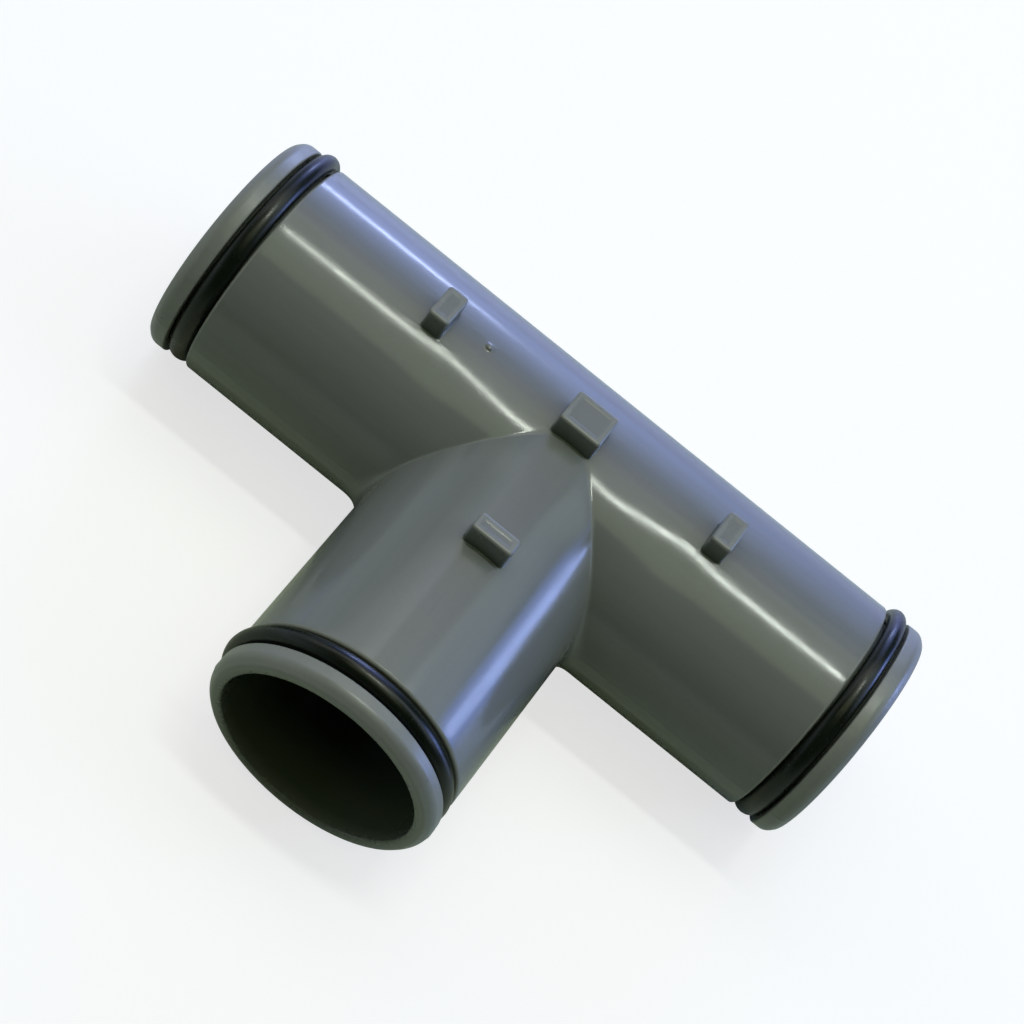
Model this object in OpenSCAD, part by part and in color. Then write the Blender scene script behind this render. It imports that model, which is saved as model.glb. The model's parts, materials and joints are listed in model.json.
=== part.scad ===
// Equal tee for low-pressure irrigation pipework. Three male ends share one diameter,
// each with a rounded lip and a seal ring in a groove just behind it.
// X runs along the straight run, -Y along the branch, +Z through the pads on the ridge.
// The origin is where the axes of the run and of the branch cross.

/* [Tube] */
// Outside diameter of the run and of the branch
tube_d = 33.4; // [33:0.1:34]
// Bore right through the run and the branch
bore_d = 28.8; // [28:0.1:29]
// Length of the straight run from lip to lip
run_length = 107; // [100:0.2:130]
// Reach of the branch from the axis of the run to its lip
branch_reach = 52.1; // [50:0.1:65]

/* [Spigot end] */
// Diameter of the lip
lip_d = 33.8; // [33.4:0.1:34.2]
// Width of the lip in front of the groove
lip_width = 3.1; // [2.6:0.1:4]
// Rounding of the lip's outer edge
lip_round = 1.7; // [1:0.1:1.9]
// Width of the groove
groove_width = 3.5; // [3:0.1:4]
// Depth of the groove below the tube
groove_depth = 1.65; // [1.3:0.05:1.7]

/* [Seal ring] */
// Diameter of the ring's round section
seal_cord = 2.65; // [2.5:0.01:2.8]
// Clearance between the ring and the floor of its groove
seal_float = 0.01; // [0.01:0.01:0.05]

/* [Pads] */
// Height of the pad tops above the ridge
pad_height = 3.6; // [2:0.1:5]
// Width along the run of the pad at the centre
centre_pad_width = 6.4; // [4:0.1:8]
// Depth across the run of the pads on it
run_pad_depth = 5.5; // [4:0.1:7]
// Width along the run of the two narrow pads
arm_pad_width = 3.1; // [2:0.1:5]
// Distance of the narrow pads from the centre
arm_pad_offset = 23.1; // [20:0.1:28]
// Width of the pad on the branch
branch_pad_width = 6.2; // [4:0.1:8]
// Depth of the pad on the branch
branch_pad_depth = 2.8; // [2:0.1:5]
// Distance of the branch pad from the axis of the run
branch_pad_offset = 22.5; // [20:0.1:28]

/* [Gate mark] */
// Diameter of the small round mark left on one arm
gate_d = 0.9; // [0.6:0.1:1.4]
// Height of the mark above the tube
gate_height = 0.3; // [0.2:0.05:0.6]
// Distance of the mark from the centre, along the run
gate_offset = 15.9; // [12:0.1:19]
// Distance of the mark behind the ridge line
gate_back = 1.3; // [0:0.1:3]

/* [Hidden] */
tube_r = tube_d / 2;
bore_r = bore_d / 2;
lip_r = lip_d / 2;
groove_r = tube_r - groove_depth;
run_reach = run_length / 2;
wall_root = bore_r + 1; // what stands on the ridge starts inside the wall, at this height
overshoot = 1; // how far the bores are cut past the lips
plastic_grey = [0.43, 0.46, 0.47];
rubber_black = [0.06, 0.06, 0.07];
$fn = 96;

// Turns a shape that stands along +Z to the left end, the right end or the branch.
module towards_left() { rotate([0, -90, 0]) children(); }
module towards_right() { rotate([0, 90, 0]) children(); }
module towards_branch() { rotate([90, 0, 0]) children(); }

// Solid stem from the centre to a lip: tube, groove, then lip with its rounded edge.
module stem(reach) {
    groove_start = reach - lip_width - groove_width;
    cylinder(h = groove_start, r = tube_r);
    cylinder(h = reach - lip_width, r = groove_r);
    translate([0, 0, reach - lip_width]) lip();
}

module lip() {
    rotate_extrude() {
        square([lip_r, lip_width - lip_round]);
        square([lip_r - lip_round, lip_width]);
        translate([lip_r - lip_round, lip_width - lip_round]) circle(r = lip_round);
    }
}

module pad(width, depth, x, y) {
    translate([x - width / 2, y - depth / 2, wall_root])
        cube([width, depth, tube_r + pad_height - wall_root]);
}

module pads() {
    pad(centre_pad_width, run_pad_depth, 0, 0);
    for (side = [-1, 1]) {
        pad(arm_pad_width, run_pad_depth, side * arm_pad_offset, 0);
    }
    pad(branch_pad_width, branch_pad_depth, 0, -branch_pad_offset);
}

module gate_mark() {
    translate([-gate_offset, gate_back, wall_root])
        cylinder(h = tube_r + gate_height - wall_root, d = gate_d);
}

module bores() {
    rotate([0, 90, 0]) cylinder(h = run_length + 2 * overshoot, r = bore_r, center = true);
    towards_branch() cylinder(h = branch_reach + overshoot, r = bore_r);
}

module tee_body() {
    color(plastic_grey)
        difference() {
            union() {
                towards_left() stem(run_reach);
                towards_right() stem(run_reach);
                towards_branch() stem(branch_reach);
                pads();
                gate_mark();
            }
            bores();
        }
}

// Seal ring around +Z, in the middle of its groove.
module seal_ring(reach) {
    section_r = seal_cord / 2;
    height = reach - lip_width - groove_width / 2;
    color(rubber_black)
        translate([0, 0, height])
            rotate_extrude()
                translate([groove_r + seal_float + section_r, 0])
                    circle(r = section_r, $fn = 48);
}

module seal_ring_left() { towards_left() seal_ring(run_reach); }
module seal_ring_right() { towards_right() seal_ring(run_reach); }
module seal_ring_branch() { towards_branch() seal_ring(branch_reach); }

tee_body();
seal_ring_left();
seal_ring_right();
seal_ring_branch();
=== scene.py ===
"""Looks of an equal irrigation tee with three grooved spigots, each with a rubber seal ring.

X runs along the straight run, -Y along the branch and +Z up through the pads on the ridge.
Every length is in metres, and the origin is where the run's axis crosses the branch's axis.
"""

import json
from math import cos, degrees, exp, pi, radians, sin

import bmesh
import bpy
import numpy as np
from mathutils import Matrix, Vector


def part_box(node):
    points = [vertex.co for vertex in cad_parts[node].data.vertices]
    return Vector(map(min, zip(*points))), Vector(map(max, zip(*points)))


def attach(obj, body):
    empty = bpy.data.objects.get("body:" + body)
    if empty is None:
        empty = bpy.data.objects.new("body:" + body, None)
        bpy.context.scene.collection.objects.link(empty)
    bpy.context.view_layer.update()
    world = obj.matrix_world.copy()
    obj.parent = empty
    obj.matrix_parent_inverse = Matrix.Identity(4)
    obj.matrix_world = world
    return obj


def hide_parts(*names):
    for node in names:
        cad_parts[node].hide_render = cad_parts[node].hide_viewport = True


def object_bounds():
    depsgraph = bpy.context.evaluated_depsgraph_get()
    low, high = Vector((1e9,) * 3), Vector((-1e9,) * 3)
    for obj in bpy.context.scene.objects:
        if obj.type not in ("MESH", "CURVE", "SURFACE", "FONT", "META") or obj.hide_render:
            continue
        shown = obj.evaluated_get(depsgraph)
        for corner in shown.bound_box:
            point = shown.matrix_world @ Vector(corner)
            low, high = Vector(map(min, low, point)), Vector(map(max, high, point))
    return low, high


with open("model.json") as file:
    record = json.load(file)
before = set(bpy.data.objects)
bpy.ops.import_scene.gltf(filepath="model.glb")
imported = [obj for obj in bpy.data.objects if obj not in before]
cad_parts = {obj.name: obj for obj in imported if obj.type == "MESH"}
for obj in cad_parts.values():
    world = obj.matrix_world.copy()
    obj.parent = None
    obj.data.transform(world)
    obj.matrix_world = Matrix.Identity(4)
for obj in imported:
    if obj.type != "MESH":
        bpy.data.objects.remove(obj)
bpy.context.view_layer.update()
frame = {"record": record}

MM = 0.001

# ---------------------------------------------------------------- sizes, from the frame where it has them
MOUNTS = {mount["name"]: mount for mount in frame["record"]["mounts"]}
BODY_LOW, BODY_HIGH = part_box("tee_body")
RING_LOW, RING_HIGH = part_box("seal_ring_right")

TUBE_R = 16.7 * MM
BORE_R = MOUNTS["run_bore"]["dims"]["r_mm"] * MM
LIP_R = MOUNTS["spigot_right"]["dims"]["r_mm"] * MM
RUN_REACH = BODY_HIGH.x
BRANCH_REACH = -BODY_LOW.y
PAD_TOP = BODY_HIGH.z

SEAL_CORD = RING_HIGH.x - RING_LOW.x  # the ring's thickness
SEAL_FLOAT = 0.01 * MM  # hairline gap between a ring and its groove's floor
SEAL_CENTRE_R = RING_HIGH.z - SEAL_CORD / 2
SEAL_BACK = RUN_REACH - (RING_HIGH.x + RING_LOW.x) / 2  # from the lip's end back to the ring's middle
GROOVE_WIDTH = 3.5 * MM
GROOVE_R = SEAL_CENTRE_R - SEAL_CORD / 2 - SEAL_FLOAT
LIP_WIDTH = SEAL_BACK - GROOVE_WIDTH / 2
LIP_CHAMFER = 1.05 * MM  # how far the lip's sloping nose reaches back and inwards
LIP_SHOULDER = 1.7 * MM  # rounding from the nose to the lip's side
LIP_FRONT_ROUND = 0.9 * MM  # rounding from the nose to the lip's end
NOSE_SLOPE = 45  # degrees between the nose's normal and the tube's axis
EDGE_ROUND = 0.45 * MM  # rounding of the tube's edge at the groove
GROOVE_ROUND = 0.25 * MM  # rounding of the groove's floor and of the lip's back edge
BORE_ROUND = 0.35 * MM  # rounding from the lip's end into the bore

RUN_PAD_DEPTH = 5.5 * MM
CENTRE_PAD_WIDTH = 6.4 * MM
ARM_PAD_WIDTH = 3.1 * MM
ARM_PAD_OFFSET = 23.1 * MM
BRANCH_PAD_WIDTH = 6.2 * MM
BRANCH_PAD_DEPTH = 2.8 * MM
BRANCH_PAD_OFFSET = 22.5 * MM
PAD_CORNER = 0.55 * MM  # rounding of a pad's outline
PAD_CORNER_LEAST = 0.12 * MM
PAD_ROOT = 0.14 * MM  # fillet at a pad's foot
PAD_EDGE = 0.4 * MM  # rounding from a pad's wall to its top
PAD_RIM = 0.4 * MM  # flat rim round the recess in the top
PAD_RECESS = 0.06 * MM  # depth of the recess
RECESS_SLOPE = 0.35 * MM  # width of the slope down into the recess

PIP_R = 0.55 * MM
PIP_DOME = 0.315 * MM  # height of the dome above its root
PIP_ROOT = 0.4 * MM  # width of the root round the dome
PIP_ROOT_RISE = 0.12 * MM  # height of the root
PIP_OFFSET = 15.9 * MM
PIP_BACK = 1.3 * MM

# Where the three tubes run into each other the moulding is blended, and it swells and sinks a little.
BLEND_TOP = 0.13 * MM  # width of the blend on the ridge
BLEND_SIDE = 0.7 * MM  # how much wider it is level with the axes
BLEND_SIDE_POWER = 1.5  # how late that comes in on the way down
SIDE_CHANGE = 0.45  # share by which BLEND_SIDE is more on the right, and less on the left
BLEND_LOW = 3.7 * MM  # how much wider again it is in the corners under the arms
LOW_CHANGE = -0.2  # the same share for BLEND_LOW, which is less on the right
LOW_START, LOW_END = 0.38 * TUBE_R, -0.35 * TUBE_R  # the heights where BLEND_LOW begins and is full
UNDER_START, UNDER_END = -0.6 * TUBE_R, -0.92 * TUBE_R  # the heights where both begin to go, and are gone
SIDE_SPAN = 6 * MM  # distance over which the left side turns into the right
BRANCH_CUTOFF = 2.5  # how fast the branch's share of the blend dies out behind the ridge
SWELLS = (  # height, distance along the run, angle in front of the ridge and spread, on both sides
    (0.21 * MM, 0.44 * TUBE_R, radians(26), 0.26 * TUBE_R),
    (-0.13 * MM, 1.13 * TUBE_R, radians(23), 0.22 * TUBE_R),
)
SWELL_CHANGE = 0.15  # share by which the right side's swells are higher
SWELL_SHIFT = 0.06 * TUBE_R  # how much farther out the right side's swells are
SEAM_HEIGHT = 0.05 * MM  # the mould's parting line, level with the axes
SEAM_SPREAD = 0.11 * MM  # how far it reaches above and below

# How fine the moulding's mesh is.
COLUMN_STEP = 2.5  # degrees between the columns round a tube
SEAM_COLUMN = 0.5  # degrees from the parting line to the extra columns beside it
OUTER_STATIONS = 60  # rings of points from the crease to the groove
INNER_STATIONS = 24  # and from the lip back through the bore
STATION_CROWDING = 1.6  # how much closer the outer ones stand at the crease
SMALL_STEPS = 4  # steps round the small edges of a spigot
FLOOR_STEPS = 3  # round each side of the groove's floor
SHOULDER_STEPS = 8
NOSE_STEPS = 6
# Where the roundings of a boss have their rings, and how its window is cut.
PAD_ROOT_TURNS = np.radians((22, 45, 67))
PAD_EDGE_TURNS = np.radians((18, 36, 54, 72, 90))
PIP_ROOT_TURNS = np.radians((30, 60))
PIP_DOME_TURNS = np.radians((0, 20, 40, 60, 78))
WINDOW_MARGIN = 2.5 * MM  # how far round a boss the skin's faces may be cut
WINDOW_LOWEST = 0.8 * TUBE_R  # the height above which they are cut
WINDOW_BORE_GAP = 0.5 * MM  # how far outside the bores they have to be
LONG_EDGE = 0.3 * MM  # longer edges of a window's rim are cut in two
WELD = 1e-7  # points closer than this become one

# Wear, and painted shade where shade falls, of the moulding's parts, from 0 to 1. The bore's painted shade
# is 1.
LIP_MARKS = {  # wear, painted shade
    "tube_edge": (1.0, 0.0),
    "groove_floor": (0.0, 0.5),
    "lip_back": (0.8, 0.0),
    "lip_shoulder": (0.6, 0.0),
    "lip_nose": (0.7, 0.0),
    "bore_edge": (0.4, 0.6),
}
# Painted shade at the pads' feet, where shade falls.
PAD_ROOT_SHADE = 0.85
PAD_WALL_WEAR = 0.35
PAD_EDGE_WEAR = 0.7
PAD_RIM_WEAR = 0.35
RECESS_STEPS = (  # share of the slope, share of the depth, wear
    (0.3, 0.2, 0.25),
    (0.7, 0.8, 0.1),
    (1.0, 1.0, 0.15),
)
PIP_WEAR = 0.3

# ---------------------------------------------------------------- camera
CAMERA_PLACE = (1.5 * MM, -192.8 * MM, 287.7 * MM)
CAMERA_AZIMUTH = radians(0.576)
CAMERA_ELEVATION = radians(56.933)
CAMERA_ROLL = radians(38.292)
CAMERA_LENS = 90.56
CAMERA_CLIP = (0.01, 20)


# ---------------------------------------------------------------- the moulding's outer skin
def ramp(value, start, end):
    """Rises smoothly from 0 at start to 1 at end."""
    share = np.clip((value - start) / (end - start), 0, 1)
    return share**2 * (3 - 2 * share)


def skin(points):
    """How far each point stands outside the blended outer skin of the three tubes."""
    x, y, z = points.T
    run = np.hypot(y, z) - TUBE_R
    behind = BRANCH_CUTOFF * np.maximum(y, 0)
    branch = np.sqrt(x * x + z * z + behind * behind) - TUBE_R
    side = np.tanh(x / SIDE_SPAN)
    down = np.clip(1 - np.maximum(z, 0) / TUBE_R, 0, 1)
    wider = BLEND_SIDE * (1 + SIDE_CHANGE * side) * down**BLEND_SIDE_POWER
    wider = wider + BLEND_LOW * (1 + LOW_CHANGE * side) * ramp(z, LOW_START, LOW_END)
    blend = BLEND_TOP + wider * ramp(z, UNDER_END, UNDER_START)
    share = np.clip(1 - np.abs(run - branch) / blend, 0, 1)
    swell = SEAM_HEIGHT * np.exp(-((z / SEAM_SPREAD) ** 2))
    for height, along, angle, spread in SWELLS:
        away = (np.abs(x) - along - SWELL_SHIFT * (1 + side) / 2) ** 2
        away = away + (y + TUBE_R * sin(angle)) ** 2 + (np.abs(z) - TUBE_R * cos(angle)) ** 2
        swell = swell + height * (1 + SWELL_CHANGE * side) * np.exp(-away / spread**2)
    return np.minimum(run, branch) - blend / 4 * share**2 - swell


def slope(points, step=1e-6):
    """Gradient of the skin's distance at each point."""
    sides = []
    for axis in np.eye(3):
        sides.append((skin(points + step * axis) - skin(points - step * axis)) / (2 * step))
    return np.stack(sides, axis=1)


def settle(points, rounds=5):
    """Moves points near the skin onto it, along its normal."""
    for _ in range(rounds):
        steep = slope(points)
        points = points - (skin(points) / (steep**2).sum(axis=1))[:, None] * steep
    return points


def skin_height(x, y, rounds=12):
    """Height of the top of the skin above a point of the XY plane."""
    z = TUBE_R
    for _ in range(rounds):
        here = np.array([[x, y, z]])
        z -= float(skin(here)[0] / slope(here)[0, 2])
    return z


# ---------------------------------------------------------------- the moulding's three tubes
def column_angles():
    """Angles round a tube, from its top: even steps, and two more columns beside each parting line."""
    angles = set(np.arange(-180, 180, COLUMN_STEP))
    for seam in (-90, 90):
        angles |= {seam - SEAM_COLUMN, seam + SEAM_COLUMN}
    return np.radians(sorted(angles))


def arc(centre, radius, start, end, steps):
    """Points of an arc in the (along, radius) plane. Angles are in degrees from the along axis."""
    turns = np.radians(np.linspace(start, end, steps + 1))
    return [(centre[0] + radius * cos(t), centre[1] + radius * sin(t)) for t in turns]


def rounded_corner(corner, start, end, radius, steps):
    """An arc that rounds a corner of the profile, between the faces with normals at start and end."""
    middle, half = radians((start + end) / 2), radians(abs(start - end) / 2)
    setback = radius / cos(half)
    centre = (corner[0] - setback * cos(middle), corner[1] - setback * sin(middle))
    return arc(centre, radius, start, end, steps)


def spigot_profile(reach):
    """(along, radius, wear, painted shade) from the tube's edge at the groove, over the lip and into the
    bore.
    """
    groove_start = reach - LIP_WIDTH - GROOVE_WIDTH
    groove_end = reach - LIP_WIDTH
    e, g, b = EDGE_ROUND, GROOVE_ROUND, BORE_ROUND
    lip_corner = (reach - LIP_CHAMFER, LIP_R)
    nose_corner = (reach, LIP_R - LIP_CHAMFER)
    parts = (
        ("tube_edge", arc((groove_start - e, TUBE_R - e), e, 90, 0, SMALL_STEPS)),
        ("groove_floor", arc((groove_start + g, GROOVE_R + g), g, 180, 270, FLOOR_STEPS)),
        ("groove_floor", arc((groove_end - g, GROOVE_R + g), g, 270, 360, FLOOR_STEPS)),
        ("lip_back", arc((groove_end + g, LIP_R - g), g, 180, 90, SMALL_STEPS)),
        ("lip_shoulder", rounded_corner(lip_corner, 90, NOSE_SLOPE, LIP_SHOULDER, SHOULDER_STEPS)),
        ("lip_nose", rounded_corner(nose_corner, NOSE_SLOPE, 0, LIP_FRONT_ROUND, NOSE_STEPS)),
        ("bore_edge", arc((reach - b, BORE_R + b), b, 0, -90, SMALL_STEPS)),
    )
    return [(along, radius, *LIP_MARKS[name]) for name, points in parts for along, radius in points]


def tube(reach, place, crease):
    """Rings of points of one tube, from the outer crease along the skin, round the spigot's end and
    back through the bore to the inner crease, and each ring's (wear, painted shade) marks, the painted
    shade darkening the bore all through. place(along, radius, angle) puts a point in the frame, and
    crease(angle) says how far out the tube meets its neighbours, as a share of its radius."""
    angles = column_angles()
    meet = crease(angles)
    profile = spigot_profile(reach)
    first, last = profile[0], profile[-1]
    rings, marks = [], []
    for share in np.linspace(0, 1, OUTER_STATIONS) ** STATION_CROWDING:
        along = TUBE_R * meet + share * (first[0] - TUBE_R * meet)
        rings.append(settle(place(along, TUBE_R, angles)))
        marks.append((0.0, 0.0))
    for along, radius, wear, painted_shade in profile[1:]:
        seam = SEAM_HEIGHT * np.exp(-((radius * np.cos(angles) / SEAM_SPREAD) ** 2))
        outer = radius + (seam if radius > TUBE_R - EDGE_ROUND else 0)
        rings.append(place(np.full_like(angles, along), outer, angles))
        marks.append((wear, painted_shade))
    for share in np.linspace(0, 1, INNER_STATIONS)[1:]:
        along = last[0] + share * (BORE_R * meet - last[0])
        rings.append(place(along, BORE_R, angles))
        # Painted shade: the bore is darkened all through.
        marks.append((0.0, 1.0))
    return rings, marks


def arm_place(side):
    """Puts points of the run's arm that goes to side * X."""
    def place(along, radius, angles):
        return np.stack([side * along, radius * np.sin(angles), radius * np.cos(angles)], axis=1)
    return place


def branch_place(along, radius, angles):
    """Puts points of the branch, which goes to -Y."""
    return np.stack([radius * np.sin(angles), -along, radius * np.cos(angles)], axis=1)


def add_vertex(bm, point, layers, values):
    """Adds a vertex that holds one value for each layer."""
    vertex = bm.verts.new(point)
    for layer, value in zip(layers, values):
        vertex[layer] = value
    return vertex


def add_tube(bm, layers, rings, marks, flip, on_branch):
    """Adds one tube's rings to the mesh and joins them with quads."""
    grid = []
    for points, (wear, painted_shade) in zip(rings, marks):
        grid.append([add_vertex(bm, point, layers, (wear, painted_shade, on_branch)) for point in points])
    for near, far in zip(grid, grid[1:]):
        for i in range(len(near)):
            j = (i + 1) % len(near)
            corners = (near[i], near[j], far[j], far[i])
            bm.faces.new(corners[::-1] if flip else corners)


# ---------------------------------------------------------------- pads and the gate's pip
def quarter_turn(share, side, other, corner):
    """Point a share of the way from the middle of a rounded rectangle's side to its corner."""
    straight = other - corner
    travel = share * (straight + pi * corner / 4)
    if travel <= straight:
        return side, travel
    turn = (travel - straight) / corner
    return side - corner + corner * cos(turn), straight + corner * sin(turn)


def outline_point(start, cut, half, corner):
    """Where a point on the rim of the cut rectangle goes on a rounded rectangle inside it."""
    u, v = abs(start[0]) / cut[0], abs(start[1]) / cut[1]
    if u >= v:
        x, y = quarter_turn(v / u, half[0], half[1], corner)
    else:
        y, x = quarter_turn(u / v, half[1], half[0], corner)
    return x * (1 if start[0] >= 0 else -1), y * (1 if start[1] >= 0 else -1)


def cut_window(bm, centre, cut):
    """Cuts a rectangle with half sizes cut out of the top skin, and returns its rim as an ordered loop
    of vertices."""
    outside_bore = BORE_R + WINDOW_BORE_GAP

    def near():
        """The outer skin's faces that lie in the window or not far from it."""
        faces = []
        for face in bm.faces:
            middle = face.calc_center_median()
            beside = max(abs(middle.x - centre[0]) - cut[0], abs(middle.y - centre[1]) - cut[1])
            outer = min(middle.xz.length, middle.yz.length) > outside_bore
            if outer and middle.z > WINDOW_LOWEST and beside < WINDOW_MARGIN:
                faces.append(face)
        return faces

    for axis in (0, 1):
        for side in (-1, 1):
            faces = near()
            plane = [0.0, 0.0, 0.0]
            plane[axis] = centre[axis] + side * cut[axis]
            normal = [0.0, 0.0, 0.0]
            normal[axis] = 1.0
            edges = {edge for face in faces for edge in face.edges}
            verts = {vert for face in faces for vert in face.verts}
            geometry = list(verts) + list(edges) + faces
            bmesh.ops.bisect_plane(bm, geom=geometry, dist=WELD, plane_co=plane, plane_no=normal)
    inside = []
    for face in near():
        middle = face.calc_center_median()
        if abs(middle.x - centre[0]) < cut[0] and abs(middle.y - centre[1]) < cut[1]:
            inside.append(face)
    bmesh.ops.delete(bm, geom=inside, context="FACES")
    rim = [edge for edge in bm.edges if edge.is_boundary]
    long_edges = [edge for edge in rim if edge.calc_length() > LONG_EDGE]
    bmesh.ops.subdivide_edges(bm, edges=long_edges, cuts=1)
    rim = [edge for edge in bm.edges if edge.is_boundary]
    return ordered_loop(rim, centre)


def ordered_loop(edges, centre):
    """The vertices of a closed loop of edges, anticlockwise seen from above."""
    start = edges[0].verts[0]
    loop, previous = [start], None
    while True:
        here = loop[-1]
        ways = [edge for edge in here.link_edges if edge.is_boundary and edge is not previous]
        previous = ways[0]
        following = previous.other_vert(here)
        if following is start:
            break
        loop.append(following)
    area = 0.0
    for a, b in zip(loop, loop[1:] + loop[:1]):
        area += (a.co.x - centre[0]) * (b.co.y - centre[1]) - (b.co.x - centre[0]) * (a.co.y - centre[1])
    return loop if area > 0 else loop[::-1]


def raise_boss(bm, layers, centre, cut, rings, on_branch):
    """Builds a boss on a window in the skin. Each ring is (half sizes, corner, height, level, wear,
    painted shade): level says whether height is measured from the skin below the point or from the XY
    plane."""
    below = cut_window(bm, centre, cut)
    starts = [(vertex.co.x - centre[0], vertex.co.y - centre[1]) for vertex in below]
    for half, corner, height, level, wear, painted_shade in rings:
        row = []
        for start in starts:
            x, y = outline_point(start, cut, half, corner)
            x, y = x + centre[0], y + centre[1]
            z = height if level else skin_height(x, y) + height
            row.append(add_vertex(bm, (x, y, z), layers, (wear, painted_shade, on_branch)))
        for i in range(len(row)):
            j = (i + 1) % len(row)
            bm.faces.new((below[i], below[j], row[j], row[i]))
        below = row
    bm.faces.new(below)


def pad_rings(width, depth):
    """Rings of a pad: root fillet, wall, rounded edge, rim and the shallow recess in its top."""
    rings = []

    def ring(offset, height, level, wear, painted_shade=0.0):
        half = (width / 2 + offset, depth / 2 + offset)
        corner = max(PAD_CORNER + offset, PAD_CORNER_LEAST)
        rings.append((half, corner, height, level, wear, painted_shade))

    # The root fillet's rings carry painted shade, which darkens the pad's foot.
    for turn in PAD_ROOT_TURNS:
        ring(PAD_ROOT * (1 - sin(turn)), PAD_ROOT * (1 - cos(turn)), False, 0.0, PAD_ROOT_SHADE)
    ring(0, PAD_ROOT, False, 0.0, PAD_ROOT_SHADE)
    wall_top = PAD_TOP - PAD_EDGE
    ring(0, wall_top, True, PAD_WALL_WEAR)
    for turn in PAD_EDGE_TURNS:
        ring(-PAD_EDGE * (1 - cos(turn)), wall_top + PAD_EDGE * sin(turn), True, PAD_EDGE_WEAR)
    rim = PAD_EDGE + PAD_RIM
    ring(-rim, PAD_TOP, True, PAD_RIM_WEAR)
    for slope_share, depth_share, wear in RECESS_STEPS:
        ring(-rim - slope_share * RECESS_SLOPE, PAD_TOP - depth_share * PAD_RECESS, True, wear)
    return rings


def pip_rings():
    """Rings of the gate's pip: a small dome with a soft root."""
    rings = []
    for turn in PIP_ROOT_TURNS:
        size = PIP_R + PIP_ROOT * (1 - sin(turn))
        rings.append(((size, size), size, PIP_ROOT_RISE * (1 - cos(turn)), False, 0.0, 0.0))
    for turn in PIP_DOME_TURNS:
        size = PIP_R * cos(turn)
        rings.append(((size, size), size, PIP_ROOT_RISE + PIP_DOME * sin(turn), False, PIP_WEAR, 0.0))
    return rings


# ---------------------------------------------------------------- pieces
def new_object(name, bm):
    """Turns a bmesh into a smooth-shaded object in the scene."""
    mesh = bpy.data.meshes.new(name)
    bm.to_mesh(mesh)
    bm.free()
    mesh.polygons.foreach_set("use_smooth", np.ones(len(mesh.polygons), dtype=bool))
    piece = bpy.data.objects.new(name, mesh)
    bpy.context.scene.collection.objects.link(piece)
    return piece


def weigh_normals(piece):
    """Lets large flat faces keep their own normals beside small roundings."""
    modifier = piece.modifiers.new("weighted_normals", "WEIGHTED_NORMAL")
    modifier.mode = "FACE_AREA_WITH_ANGLE"
    modifier.keep_sharp = True


def make_body():
    """The moulding: three tubes that meet in one skin, four pads and the gate's pip."""
    bm = bmesh.new()
    # The second layer holds painted shade: how far the colour is darkened where shade falls.
    layers = [bm.verts.layers.float.new(name) for name in ("wear", "painted_shade", "on_branch")]
    for side in (-1, 1):
        rings, marks = tube(RUN_REACH, arm_place(side), lambda a: np.maximum(0, -np.sin(a)))
        add_tube(bm, layers, rings, marks, side > 0, 0.0)
    rings, marks = tube(BRANCH_REACH, branch_place, lambda a: np.abs(np.sin(a)))
    add_tube(bm, layers, rings, marks, False, 1.0)
    bmesh.ops.remove_doubles(bm, verts=bm.verts[:], dist=WELD)
    bmesh.ops.recalc_face_normals(bm, faces=bm.faces[:])
    pads = (  # x, y, width, depth, share of the branch's grain
        (0, 0, CENTRE_PAD_WIDTH, RUN_PAD_DEPTH, 0.5),
        (-ARM_PAD_OFFSET, 0, ARM_PAD_WIDTH, RUN_PAD_DEPTH, 0.0),
        (ARM_PAD_OFFSET, 0, ARM_PAD_WIDTH, RUN_PAD_DEPTH, 0.0),
        (0, -BRANCH_PAD_OFFSET, BRANCH_PAD_WIDTH, BRANCH_PAD_DEPTH, 1.0),
    )
    for x, y, width, depth, on_branch in pads:
        cut = (width / 2 + PAD_ROOT, depth / 2 + PAD_ROOT)
        raise_boss(bm, layers, (x, y), cut, pad_rings(width, depth), on_branch)
    cut = (PIP_R + PIP_ROOT,) * 2
    raise_boss(bm, layers, (-PIP_OFFSET, PIP_BACK), cut, pip_rings(), 0.0)
    piece = new_object("tee_moulding", bm)
    weigh_normals(piece)
    return piece


RING_COLUMNS = 180  # round the ring
RING_ROWS = 48  # round its section
FLASH_HEIGHT = 0.012 * MM
FLASH_SPREAD = 5  # degrees round the section
WOBBLE = 0.02 * MM  # how far a ring strays from true
WOBBLE_WAVES = ((3, 0.5, 1.0), (7, 0.3, 2.1))  # waves in a turn, their share, and their phase's factor
SEAL_SETTLING = 0.95 * MM  # how much deeper a ring sits in its groove on one side than on the other
SEAL_SPREADING = 0.28  # share by which its section is wider there


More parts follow.
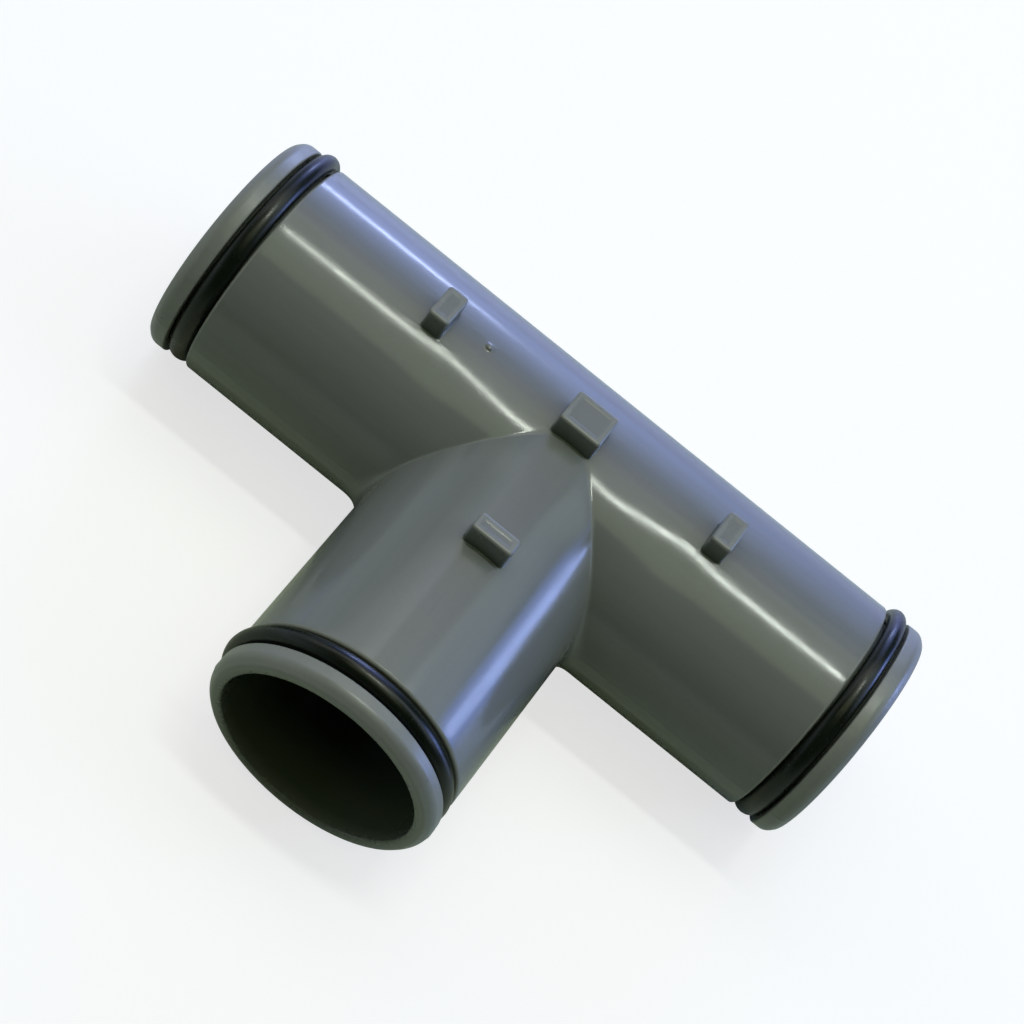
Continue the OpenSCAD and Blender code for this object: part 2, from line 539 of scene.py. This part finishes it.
def make_seal(name, place, reach, phase, deep_side):
    """A seal ring: round section with a faint mould flash round its outer and inner line, not quite even
    round its length, and pressed flatter on the floor of its groove towards the deep side's angle."""
    bm = bmesh.new()
    layers = [bm.verts.layers.float.new("across")]
    rows = []
    for i in range(RING_COLUMNS):
        angle = 2 * pi * i / RING_COLUMNS
        waves = [share * sin(count * angle + shift * phase) for count, share, shift in WOBBLE_WAVES]
        wobble = WOBBLE * sum(waves)
        depth = (1 + cos(angle - deep_side)) / 2
        centre = SEAL_CENTRE_R - SEAL_SETTLING * depth
        row = []
        for j in range(RING_ROWS):
            turn = 2 * pi * j / RING_ROWS
            to_line = min(abs(degrees(turn) - line) for line in (0, 180, 360))
            section = SEAL_CORD / 2 - WOBBLE - FLASH_HEIGHT + wobble / 2
            section += FLASH_HEIGHT * exp(-((to_line / FLASH_SPREAD) ** 2))
            radius = max(centre + section * cos(turn), GROOVE_R + SEAL_FLOAT)
            along = reach - SEAL_BACK + section * (1 + SEAL_SPREADING * depth) * sin(turn) + wobble
            point = place(np.array([along]), radius, np.array([angle]))[0]
            row.append(add_vertex(bm, point, layers, (turn,)))
        rows.append(row)
    for i in range(RING_COLUMNS):
        near, far = rows[i], rows[(i + 1) % RING_COLUMNS]
        for j in range(RING_ROWS):
            k = (j + 1) % RING_ROWS
            bm.faces.new((near[j], near[k], far[k], far[j]))
    bmesh.ops.recalc_face_normals(bm, faces=bm.faces[:])
    return new_object(name, bm)


# ---------------------------------------------------------------- materials
class Nodes:
    """A small helper that adds nodes to a tree and links them. A value may be a number, a colour or
    another node's output."""

    def __init__(self, tree):
        self.tree = tree

    def feed(self, socket, value):
        """Sets an input, or links it."""
        if isinstance(value, bpy.types.NodeSocket):
            self.tree.links.new(value, socket)
        else:
            socket.default_value = value

    def add(self, kind, inputs=(), **settings):
        node = self.tree.nodes.new(kind)
        for name, value in settings.items():
            setattr(node, name, value)
        for name, value in dict(inputs).items():
            self.feed(node.inputs[name], value)
        return node

    def noise(self, vector, scale, detail=3.0):
        inputs = {"Vector": vector, "Scale": scale, "Detail": detail}
        return self.add("ShaderNodeTexNoise", inputs).outputs["Fac"]

    def stretch(self, vector, scale):
        inputs = {"Vector": vector, "Scale": scale}
        return self.add("ShaderNodeMapping", inputs).outputs["Vector"]

    def direction(self, vector):
        return self.add("ShaderNodeVectorMath", {0: vector}, operation="NORMALIZE").outputs[0]

    def span(self, value, low, high, to_low, to_high):
        inputs = {"Value": value, "From Min": low, "From Max": high, "To Min": to_low, "To Max": to_high}
        return self.add("ShaderNodeMapRange", inputs).outputs["Result"]

    def plus(self, a, b):
        return self.add("ShaderNodeMath", {0: a, 1: b}, operation="ADD").outputs[0]

    def times(self, a, b):
        return self.add("ShaderNodeMath", {0: a, 1: b}, operation="MULTIPLY").outputs[0]

    def mix(self, factor, a, b):
        """Goes from a to b as the factor goes from 0 to 1."""
        inputs = {"Factor": factor, 6: a, 7: b}
        return self.add("ShaderNodeMix", inputs, data_type="RGBA").outputs[2]

    def bump(self, height, distance, strength, normal=None):
        inputs = {"Height": height, "Distance": distance, "Strength": strength}
        if normal is not None:
            inputs["Normal"] = normal
        return self.add("ShaderNodeBump", inputs).outputs["Normal"]

    def attribute(self, name):
        return self.add("ShaderNodeAttribute", attribute_name=name).outputs["Fac"]

    def place(self):
        return self.add("ShaderNodeTexCoord").outputs["Object"]

    def emission(self, colour, strength):
        return self.add("ShaderNodeEmission", {"Color": colour, "Strength": strength}).outputs[0]

    def both(self, a, b):
        return self.add("ShaderNodeAddShader", {0: a, 1: b}).outputs[0]

    def seen_directly(self, otherwise, seen):
        """One shader for what the camera sees directly, and another for all other light."""
        direct = self.add("ShaderNodeLightPath").outputs["Is Camera Ray"]
        return self.add("ShaderNodeMixShader", {"Fac": direct, 1: otherwise, 2: seen}).outputs[0]


def new_material(name):
    material = bpy.data.materials.new(name)
    material.use_nodes = True
    nodes = Nodes(material.node_tree)
    shader = material.node_tree.nodes["Principled BSDF"]
    return material, nodes, shader


# Grey plastic. Scales are in waves per metre, or in waves per tube radius for the brush marks.
GREEN_GREY = (0.152, 0.166, 0.148, 1)
BLUE_GREY = (0.162, 0.168, 0.172, 1)
SPECK_TINT = (0.125, 0.137, 0.135, 1)
STREAK_TINT = (0.19, 0.20, 0.20, 1)
WORN_TINT = (0.275, 0.28, 0.25, 1)
# Painted shade: a dark tint laid into the bore, the grooves and the pads' feet.
PAINTED_SHADE_TINT = (0.045, 0.062, 0.029, 1)
STREAK_ALONG = 25
STREAK_ACROSS = 900
BRUSH_SCALE = 45
PATCH_SCALE = 70
SPECK_SCALE = 2600
SCUFF_SCALE = 1300
SATIN_SCALE = 420
WAVE_SCALE = 140
PEEL_SCALE = 1500
SPECK_AMOUNT = 0.22
STREAK_AMOUNT = 0.18
BRUSH_AMOUNT = 0.35
WORN_AMOUNT = 0.6
WORN_LEAST = 0.66  # how much of the wear is left where the scuffs miss
PAINTED_SHADE_AMOUNT = (0.85, 0.7)  # painted shade, in the green patches and in the blue ones
SATIN = (0.15, 0.2)  # least and most roughness
STREAK_SATIN = (-0.02, 0.04)  # what the streaks add to it
WORN_ROUGHNESS = 0.3
WAVE_DEPTH = 0.04 * MM
PEEL_DEPTH = 0.006 * MM
DRAG_DEPTH = 0.006 * MM


def tube_grain(n, place):
    """Two patterns that follow each tube: fine streaks along it, and brush marks that cross its edges."""
    on_branch = n.attribute("on_branch")
    run_streaks = n.noise(n.stretch(place, (STREAK_ALONG, STREAK_ACROSS, STREAK_ACROSS)), 1.0, 2.0)
    branch_streaks = n.noise(n.stretch(place, (STREAK_ACROSS, STREAK_ALONG, STREAK_ACROSS)), 1.0, 2.0)
    run_brush = n.noise(n.direction(n.stretch(place, (0, 1, 1))), BRUSH_SCALE)
    branch_brush = n.noise(n.direction(n.stretch(place, (1, 0, 1))), BRUSH_SCALE)
    return n.mix(on_branch, run_streaks, branch_streaks), n.mix(on_branch, run_brush, branch_brush)


def pvc_material():
    """Grey moulded PVC: a satin skin with faint flow mottling and fine drag lines along each tube, paler
    and rougher wear on the raised edges, and painted shade that darkens the bore, the grooves and the
    pads' feet."""
    material, n, shader = new_material("grey_pvc")
    place = n.place()
    streaks, brush = tube_grain(n, place)
    patches = n.noise(place, PATCH_SCALE, 2.0)
    speckle = n.noise(place, SPECK_SCALE, 2.0)
    scuffs = n.times(n.noise(place, SCUFF_SCALE), 1 - BRUSH_AMOUNT)
    scuffs = n.plus(n.times(brush, BRUSH_AMOUNT), scuffs)
    worn = n.times(n.attribute("wear"), n.span(scuffs, 0.36, 0.64, WORN_LEAST, 1.0))
    # Painted shade darkens the bore, the grooves and the pads' feet, a little more in the green patches.
    shade_share = n.times(n.attribute("painted_shade"), n.span(patches, 0.2, 0.8, *PAINTED_SHADE_AMOUNT))

    colour = n.mix(patches, GREEN_GREY, BLUE_GREY)
    colour = n.mix(n.span(speckle, 0.3, 0.8, 0, SPECK_AMOUNT), colour, SPECK_TINT)
    colour = n.mix(n.span(streaks, 0.35, 0.75, 0, STREAK_AMOUNT), colour, STREAK_TINT)
    colour = n.mix(n.times(worn, WORN_AMOUNT), colour, WORN_TINT)
    n.feed(shader.inputs["Base Color"], n.mix(shade_share, colour, PAINTED_SHADE_TINT))

    rough = n.span(n.noise(place, SATIN_SCALE), 0.3, 0.75, *SATIN)
    rough = n.plus(rough, n.span(streaks, 0.3, 0.8, *STREAK_SATIN))
    n.feed(shader.inputs["Roughness"], n.plus(rough, n.times(worn, WORN_ROUGHNESS)))

    waviness = n.bump(n.noise(place, WAVE_SCALE, 1.0), WAVE_DEPTH, 0.6)
    orange_peel = n.bump(n.noise(place, PEEL_SCALE, 2.0), PEEL_DEPTH, 0.5, waviness)
    n.feed(shader.inputs["Normal"], n.bump(streaks, DRAG_DEPTH, 0.5, orange_peel))
    n.feed(shader.inputs["Specular IOR Level"], 0.5)
    return material


# Black rubber.
GREASED_TINT = (0.003, 0.005, 0.002, 1)
DRY_TINT = (0.006, 0.009, 0.006, 1)
DUST_TINT = (0.08, 0.08, 0.075, 1)
SMEAR_SCALE = 260
GRIT_SCALE = 3200
LINE_SCALE = 9.0  # per radian round the section
DUST_LEVEL = (0.66, 0.74)  # grit above this is dust
DUST_AMOUNT = 0.25
RUBBER_SATIN = (0.24, 0.36)  # roughness where it is greased and where it is dry
RIDGE_DEPTH = 0.005 * MM
GRIT_DEPTH = 0.004 * MM


def rubber_material():
    """Black seal rubber with a greased sheen, faint lines round its length and a few specks of dust."""
    material, n, shader = new_material("seal_rubber")
    place = n.place()
    line_inputs = {"W": n.attribute("across"), "Scale": LINE_SCALE, "Detail": 3.0}
    lines = n.add("ShaderNodeTexNoise", line_inputs, noise_dimensions="1D").outputs["Fac"]
    grit = n.noise(place, GRIT_SCALE, 2.0)
    dust = n.times(n.span(grit, *DUST_LEVEL, 0, 1), DUST_AMOUNT)
    dry = n.noise(place, SMEAR_SCALE)
    colour = n.mix(dry, GREASED_TINT, DRY_TINT)
    n.feed(shader.inputs["Base Color"], n.mix(dust, colour, DUST_TINT))
    n.feed(shader.inputs["Roughness"], n.plus(n.span(dry, 0.3, 0.75, *RUBBER_SATIN), dust))
    ridges = n.bump(lines, RIDGE_DEPTH, 0.5)
    n.feed(shader.inputs["Normal"], n.bump(grit, GRIT_DEPTH, 0.5, ridges))
    n.feed(shader.inputs["Specular IOR Level"], 0.36)
    return material


# ---------------------------------------------------------------- floor, light and camera
FLOOR_SIZE = 3.0
FLOOR_PAPER = (0.35, 0.35, 0.35, 1)
FLOOR_LIFT = 0.7  # what the paper glows, where it is seen directly
FLOOR_NEAR = (0.56, 0.61, 0.48, 1)
FLOOR_FAR = (0.65, 0.72, 0.85, 1)
FLOOR_ROUGHNESS = 0.4
FLOOR_GLOW = (0.08, 0.05, 0.42, 1)
TINT_RANGE = (-20 * MM, 120 * MM)  # from the near colour to the far one, along Y
GLOW_RANGE = (40 * MM, 120 * MM)  # from no glow to all of it

ROOM_TINT = (0.015, 0.02, 0.01, 1)
LEFT_TINT = (0.57, 0.65, 0.7, 1)
BEHIND_TINT = (1.3, 1.7, 4.0, 1)
PALE_TINT = (0.93, 0.93, 0.93, 1)
# Where the room is lit: limits of a direction's coordinates, from outside the lit part to inside it.
LEFT_LIMITS = (("Z", 0.7, 0.1), ("X", -0.4, -0.8))
BEHIND_LIMITS = (("Z", 0.82, 0.4), ("Y", 0.0, 0.3), ("X", -0.5, -0.2), ("X", 0.25, -0.08))

STUDIO_DISTANCE = 1.2
LEAST_ACROSS = 0.3  # a light nearer to the X axis than this takes its width from Y
LIGHTS = (  # name, direction, size across X and the other way, power, colour, twist in degrees
    ("overhead_strip", (0, 0.108, 0.994), (0.5, 0.055), 3.4, (0.93, 1.0, 0.88), -3),
    ("overhead_end", (0.12, 0.10, 0.995), (0.2, 0.04), 0.45, (0.92, 1.0, 0.98), 0),
    ("front_box", (0, -0.2, 0.95), (1.2, 0.55), 1.9, (0.9, 1.0, 0.6), 0),
    ("top_box", (0, 0.35, 0.94), (1.2, 0.35), 1.5, (0.96, 1.0, 0.84), 0),
    ("back_box", (0, 0.55, 0.8), (0.7, 0.3), 0.42, (0.83, 0.75, 1.0), 0),
    ("left_box", (-0.6, 0.3, 0.75), (1.0, 0.5), 1.8, (1.0, 1.0, 0.98), 0),
    ("right_box", (0.7, 0.3, 0.65), (1.2, 0.6), 3.3, (0.74, 0.88, 1.0), 0),
    ("back_strip", (-0.2, 0.95, 0.239), (0.29, 0.05), 1.65, (0.5, 0.6, 1.0), 0),
    ("side_window", (0.833, 0.514, 0.187), (0.32, 0.23), 1.9, (0.44, 0.55, 1.0), 0),
    ("window_halo", (0.833, 0.514, 0.195), (0.5, 0.5), 3.3, (0.17, 0.31, 1.0), 0),
)


def make_floor(level):
    """A plain pale floor. Seen directly it is near white; the object sees a dimmer one, with a bluish
    glow towards the back."""
    bm = bmesh.new()
    half = FLOOR_SIZE / 2
    corners = [bm.verts.new((x * half, y * half, level)) for x, y in ((-1, -1), (1, -1), (1, 1), (-1, 1))]
    bm.faces.new(corners)
    floor = new_object("floor", bm)
    material, n, shader = new_material("pale_floor")
    paper = n.add("ShaderNodeBsdfDiffuse", {"Color": FLOOR_PAPER}).outputs[0]
    seen = n.both(paper, n.emission((1, 1, 1, 1), FLOOR_LIFT))
    depth = n.add("ShaderNodeSeparateXYZ", {"Vector": n.place()}).outputs["Y"]
    tint = n.mix(n.span(depth, *TINT_RANGE, 0, 1), FLOOR_NEAR, FLOOR_FAR)
    n.feed(shader.inputs["Base Color"], tint)
    n.feed(shader.inputs["Roughness"], FLOOR_ROUGHNESS)
    glow = n.emission(FLOOR_GLOW, n.span(depth, *GLOW_RANGE, 0, 1))
    output = n.tree.nodes["Material Output"]
    n.feed(output.inputs["Surface"], n.seen_directly(n.both(shader.outputs[0], glow), seen))
    floor.data.materials.append(material)
    return floor


def make_light(name, direction, size, power, colour, twist):
    """A soft rectangular light that faces the object; twist turns it about the line to the object."""
    data = bpy.data.lights.new(name, "AREA")
    data.shape = "RECTANGLE"
    data.size, data.size_y = size
    data.energy = power
    data.color = colour
    light = bpy.data.objects.new(name, data)
    bpy.context.scene.collection.objects.link(light)
    back = Vector(direction).normalized()
    light.location = back * STUDIO_DISTANCE
    across = Vector((1, 0, 0)) - back * back.x
    if across.length < LEAST_ACROSS:
        across = Vector((0, 1, 0)) - back * back.y
    across.normalize()
    across = Matrix.Rotation(radians(twist), 3, back) @ across
    up = back.cross(across)
    light.rotation_euler = Matrix((across, up, back)).transposed().to_euler()
    light.visible_camera = False


def make_world():
    """Pale all round to the camera. To the object it is a dim room, lit on the left and, with a bluish
    glow, low at the back."""
    world = bpy.data.worlds.new("studio")
    world.use_nodes = True
    bpy.context.scene.world = world
    n = Nodes(world.node_tree)
    background = world.node_tree.nodes["Background"]
    output = world.node_tree.nodes["World Output"]
    direction = n.add("ShaderNodeTexCoord").outputs["Generated"]
    parts = n.add("ShaderNodeSeparateXYZ", {"Vector": direction}).outputs

    def patch(limits):
        """1 in one part of the room and 0 in the rest."""
        share = 1.0
        for axis, outside, inside in limits:
            share = n.times(share, n.span(parts[axis], outside, inside, 0, 1))
        return share

    room = n.mix(patch(LEFT_LIMITS), ROOM_TINT, LEFT_TINT)
    n.feed(background.inputs["Color"], n.mix(patch(BEHIND_LIMITS), room, BEHIND_TINT))
    pale = n.add("ShaderNodeBackground", {"Color": PALE_TINT, "Strength": 1.0}).outputs[0]
    n.feed(output.inputs["Surface"], n.seen_directly(background.outputs[0], pale))


def make_camera():
    """The camera, and the plain view transform that its picture is shown with."""
    back = Vector((
        sin(CAMERA_AZIMUTH) * cos(CAMERA_ELEVATION),
        -cos(CAMERA_AZIMUTH) * cos(CAMERA_ELEVATION),
        sin(CAMERA_ELEVATION),
    ))
    level = Vector((cos(CAMERA_AZIMUTH), sin(CAMERA_AZIMUTH), 0))
    rise = back.cross(level)
    right = level * cos(CAMERA_ROLL) + rise * sin(CAMERA_ROLL)
    up = rise * cos(CAMERA_ROLL) - level * sin(CAMERA_ROLL)
    data = bpy.data.cameras.new("camera")
    data.lens = CAMERA_LENS
    data.clip_start, data.clip_end = CAMERA_CLIP
    camera = bpy.data.objects.new("camera", data)
    camera.location = CAMERA_PLACE
    camera.rotation_euler = Matrix((right, up, back)).transposed().to_euler()
    bpy.context.scene.collection.objects.link(camera)
    bpy.context.scene.camera = camera
    bpy.context.scene.view_settings.view_transform = "Standard"


# ---------------------------------------------------------------- the whole scene
make_camera()

body = make_body()
body.data.materials.append(pvc_material())
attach(body, "root")
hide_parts("tee_body")

rubber = rubber_material()
SEALS = (  # side, place, reach, phase of the wobble, angle of the deep side
    ("left", arm_place(-1), RUN_REACH, 0.4, radians(-120)),
    ("right", arm_place(1), RUN_REACH, 1.9, radians(-120)),
    ("branch", branch_place, BRANCH_REACH, 3.3, radians(120)),
)
for side, place, reach, phase, deep_side in SEALS:
    seal = make_seal("seal_" + side, place, reach, phase, deep_side)
    seal.data.materials.append(rubber)
    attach(seal, "root")
    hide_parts("seal_ring_" + side)

floor = make_floor(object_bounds()[0].z)  # the rings sit a little higher than the CAD's
make_world()
for light in LIGHTS:
    make_light(*light)
